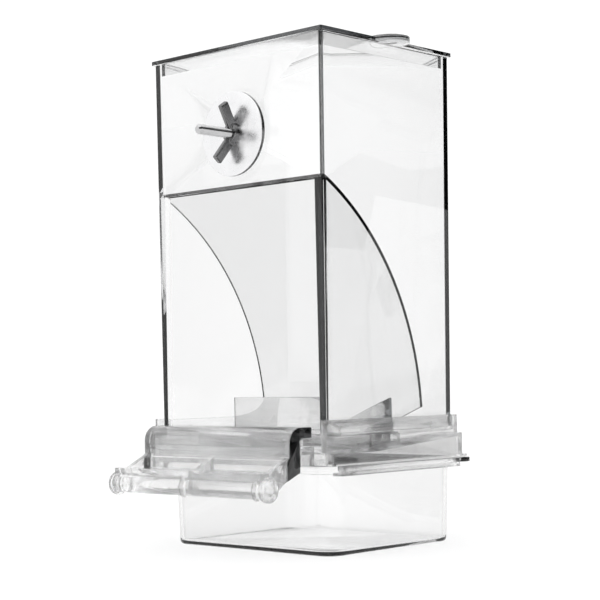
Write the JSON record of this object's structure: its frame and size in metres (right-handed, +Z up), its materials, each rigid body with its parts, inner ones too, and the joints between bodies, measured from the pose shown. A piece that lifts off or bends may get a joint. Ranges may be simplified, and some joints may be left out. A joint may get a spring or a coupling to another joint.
{
  "type": "gravity poultry feeder",
  "caption": "Clear gravity seed feeder: tapered hopper with curved baffle and lid on a base frame with husk drawer, clip-on perch and a wing-nut screw that clamps it to cage wires.",
  "frame": {"origin": "on the underside of the catch drawer, which is what the feeder stands on, straight under the middle of the hopper", "axes": "+Z up; -Y is the open feeding side, with the perch and the clamp screw; +Y is the way the catch drawer pulls out; +X is the side with the lid's thumb tab"},
  "size_m": [0.1068, 0.1155, 0.2],
  "materials": {
    "clear_body": "clear moulded polystyrene, polished",
    "clear_sheet": "clear sheet, faintly grey",
    "clear_perch": "thick clear moulding, polished",
    "bright_steel": "zinc-plated steel, lightly turned"
  },
  "bodies": {
    "base": {"base_frame": "clear_body", "seed_gate": "clear_sheet"},
    "drawer": {"catch_drawer": "clear_body"},
    "hopper": {"hopper_shell": "clear_body", "seed_baffle": "clear_sheet", "clamp_bolt": "bright_steel", "inner_washer": "bright_steel"},
    "lid": {"lid": "clear_body"},
    "perch": {"perch_bracket": "clear_perch", "perch_bar": "clear_perch"},
    "clamp_washer": {"fender_washer": "bright_steel"},
    "wing_nut": {"wing_nut": "bright_steel"}
  },
  "joints": [
    {"name": "drawer_slide", "type": "slide", "parent": "base", "child": "drawer", "axis": [0, 1, 0], "range_m": [0, 0.07]},
    {"name": "hopper_lift", "type": "slide", "parent": "base", "child": "hopper", "axis": [0, 0, 1], "range_m": [0, 0.03]},
    {"name": "lid_lift", "type": "slide", "parent": "hopper", "child": "lid", "axis": [0, 0, 1], "range_m": [0, 0.03]},
    {"name": "perch_lift", "type": "slide", "parent": "base", "child": "perch", "axis": [0, 0, 1], "range_m": [0, 0.02]},
    {"name": "washer_slide", "type": "slide", "parent": "hopper", "child": "clamp_washer", "axis": [0, -1, 0], "range_m": [0, 0.0056]},
    {"name": "nut_turn", "type": "hinge", "parent": "clamp_washer", "child": "wing_nut", "pos_m": [0, -0.0404, 0.1638], "axis": [0, -1, 0], "range_deg": [0, 2881.5]}
  ],
  "couplings": [
    {"joint": "nut_turn", "follows": "washer_slide", "rad_per_m": 8976}
  ]
}
